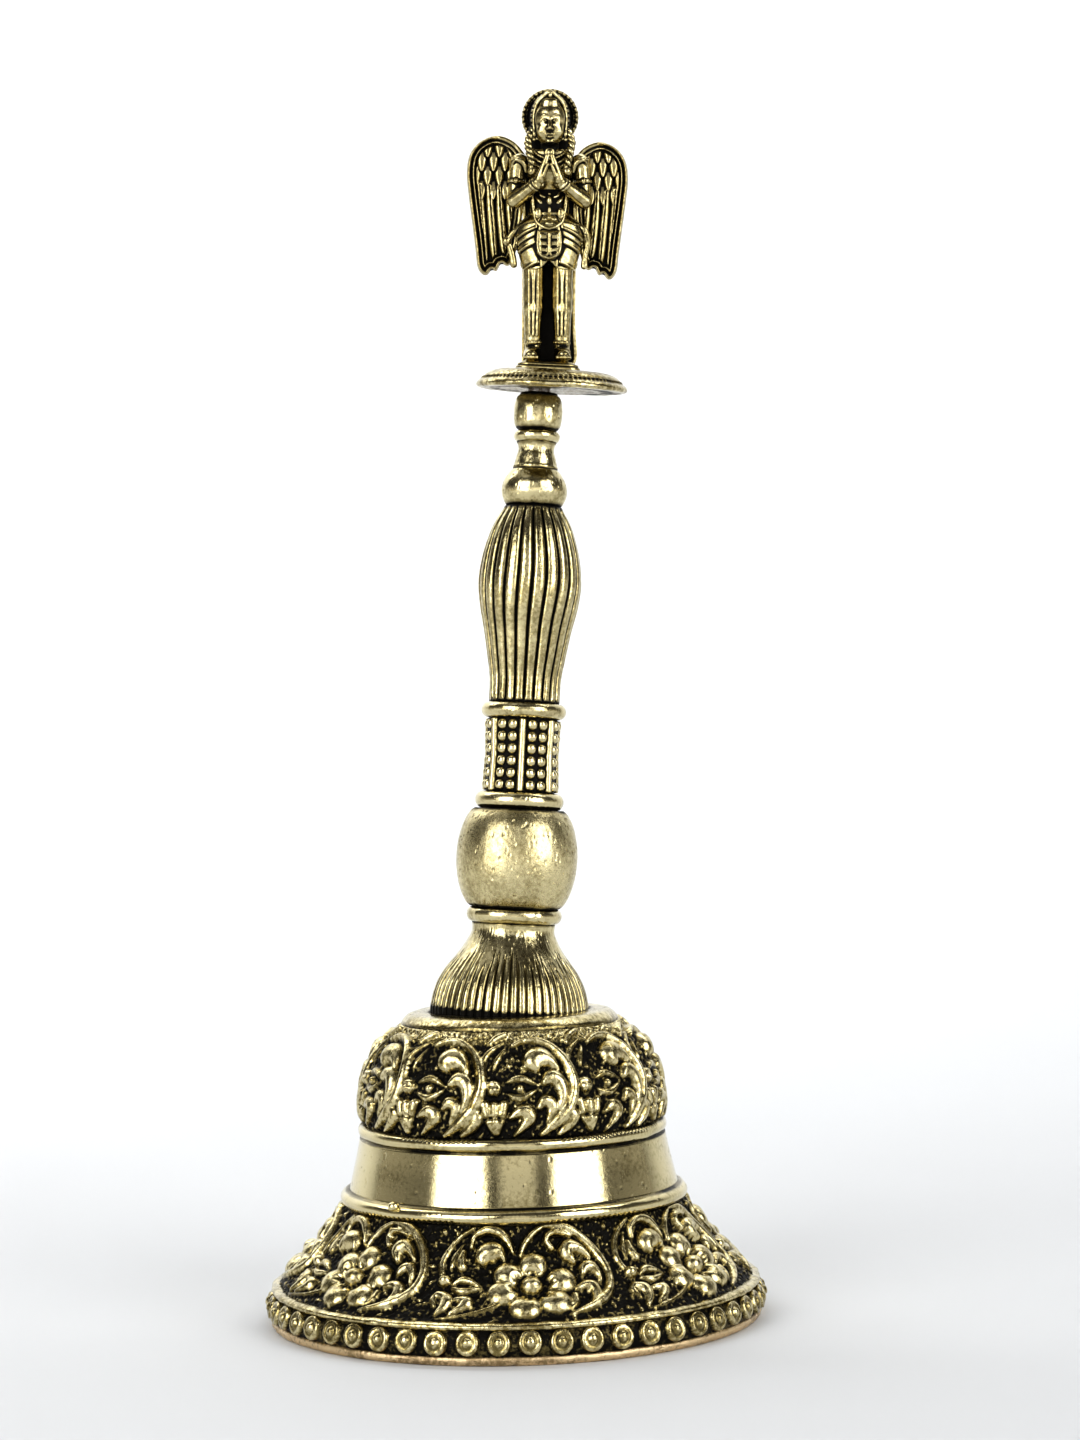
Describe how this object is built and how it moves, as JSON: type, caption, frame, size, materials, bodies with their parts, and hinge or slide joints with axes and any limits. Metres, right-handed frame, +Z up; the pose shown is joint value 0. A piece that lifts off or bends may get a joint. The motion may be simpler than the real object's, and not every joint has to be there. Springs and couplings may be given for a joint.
{
  "type": "hand bell",
  "caption": "Cast brass hand bell: flared cup with a free-swinging clapper, a turned handle on a tie rod and a small winged praying figure on top.",
  "frame": {"origin": "centre of the flat face of the rim that the bell stands on", "axes": "+Z up through the cup and the handle; -Y towards the front of the figure; +X to the figure's left"},
  "size_m": [0.089, 0.089, 0.2186],
  "materials": {
    "antique_brass": "polished on the high parts, black patina in the recesses",
    "plain_brass": "satin, as turned",
    "dark_iron": "dull, oiled",
    "steel_rod": "plain drawn rod"
  },
  "bodies": {
    "bell": {"bell_cup": "antique_brass", "crown_stud": "steel_rod", "crown_washer": "plain_brass", "swivel_nut": "plain_brass", "pleated_foot": "antique_brass", "foot_collar": "antique_brass", "ball_knop": "antique_brass", "lower_collar": "antique_brass", "beaded_sleeve": "antique_brass", "upper_collar": "antique_brass", "fluted_grip": "antique_brass", "bulb_knop": "antique_brass", "neck_collar": "antique_brass", "barrel_bead": "antique_brass", "tie_rod": "steel_rod", "stand_disc": "antique_brass", "figure_base": "antique_brass", "back_plate": "antique_brass", "figure": "antique_brass", "left_wing": "antique_brass", "right_wing": "antique_brass", "halo": "antique_brass"},
    "swivel": {"clapper_eye": "dark_iron"},
    "clapper": {"clapper_rod": "dark_iron", "clapper_ball": "plain_brass"}
  },
  "joints": [
    {"name": "clapper_swivel", "type": "hinge", "parent": "bell", "child": "swivel", "pos_m": [0, 0, 0.03785], "axis": [0, 0, 1], "continuous": true},
    {"name": "clapper_swing", "type": "hinge", "parent": "swivel", "child": "clapper", "pos_m": [0, 0, 0.03785], "axis": [0, 1, 0], "range_deg": [-51, 51]}
  ]
}
